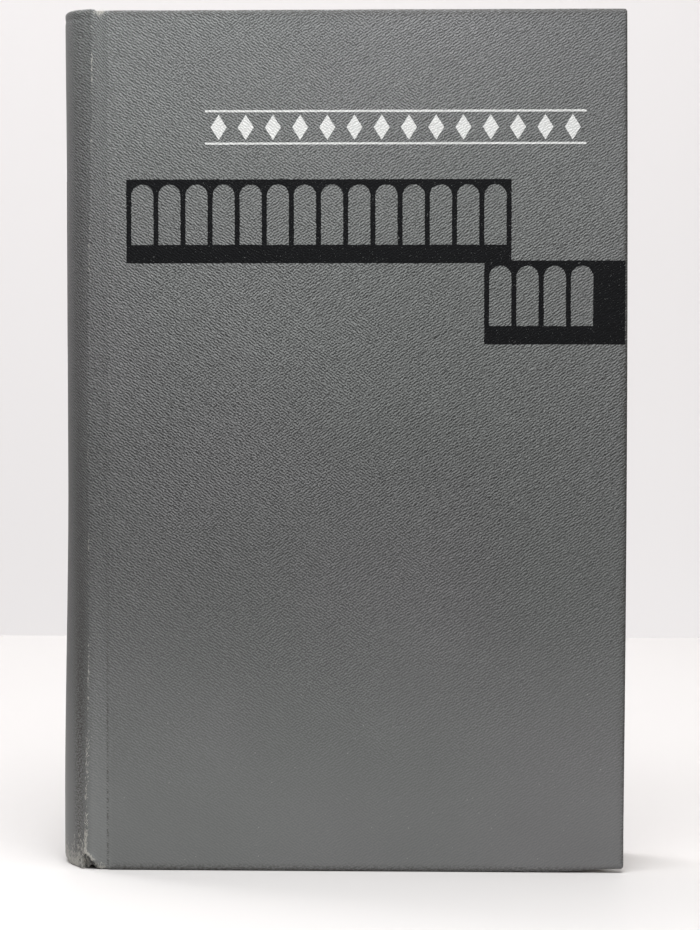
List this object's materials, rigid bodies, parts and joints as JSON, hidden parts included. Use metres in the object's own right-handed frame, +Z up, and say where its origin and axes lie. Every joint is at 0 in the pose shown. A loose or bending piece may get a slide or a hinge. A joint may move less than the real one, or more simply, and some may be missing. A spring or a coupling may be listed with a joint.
{
  "type": "hardback book",
  "caption": "Cloth-bound hardback book with a rounded back, stamped plain ornament, grained grey cloth and hinged covers.",
  "frame": {"origin": "under the middle of the closed book, at the level of its tail edge, on which it stands", "axes": "+Z up to the head, +X from the spine to the fore-edge, -Y out of the front cover"},
  "size_m": [0.136, 0.0294, 0.207],
  "materials": {
    "cover_cloth": "grained, coated bookcloth",
    "black_foil": "pressed pigment foil, worn",
    "white_foil": "pressed pigment foil, worn",
    "board": "matt pressed board",
    "endpaper": "matt, slightly yellowed",
    "leaf_paper": "matt, yellowed towards its edges",
    "gauze": "glued gauze and paper",
    "headband": "woven cotton tape with a bead"
  },
  "bodies": {
    "text_block": {"gathering_01": "leaf_paper", "gathering_02": "leaf_paper", "gathering_03": "leaf_paper", "gathering_04": "leaf_paper", "gathering_05": "leaf_paper", "gathering_06": "leaf_paper", "gathering_07": "leaf_paper", "gathering_08": "leaf_paper", "gathering_09": "leaf_paper", "gathering_10": "leaf_paper", "gathering_11": "leaf_paper", "gathering_12": "leaf_paper", "gathering_13": "leaf_paper", "gathering_14": "leaf_paper", "front_flyleaf": "endpaper", "back_flyleaf": "endpaper", "spine_lining": "gauze", "headband_head": "headband", "headband_tail": "headband", "spine_card": "board", "spine_cloth": "cover_cloth", "spine_band_stamp": "black_foil", "spine_rule_stamp": "white_foil", "front_joint_cloth": "cover_cloth", "front_joint_paper": "endpaper", "back_joint_cloth": "cover_cloth", "back_joint_paper": "endpaper"},
    "front_cover": {"front_board": "board", "front_cloth": "cover_cloth", "front_pastedown": "endpaper", "front_band_stamp": "black_foil", "front_lozenge_stamp": "white_foil"},
    "back_cover": {"back_board": "board", "back_cloth": "cover_cloth", "back_pastedown": "endpaper"}
  },
  "joints": [
    {"name": "front_hinge", "type": "hinge", "parent": "text_block", "child": "front_cover", "pos_m": [-0.05947, -0.01468, 0.1035], "axis": [0, 0, -1], "range_deg": [0, 180], "deforming": ["front_joint_cloth", "front_joint_paper"]},
    {"name": "back_hinge", "type": "hinge", "parent": "text_block", "child": "back_cover", "pos_m": [-0.05947, 0.01468, 0.1035], "axis": [0, 0, 1], "range_deg": [0, 180], "deforming": ["back_joint_cloth", "back_joint_paper"]}
  ]
}
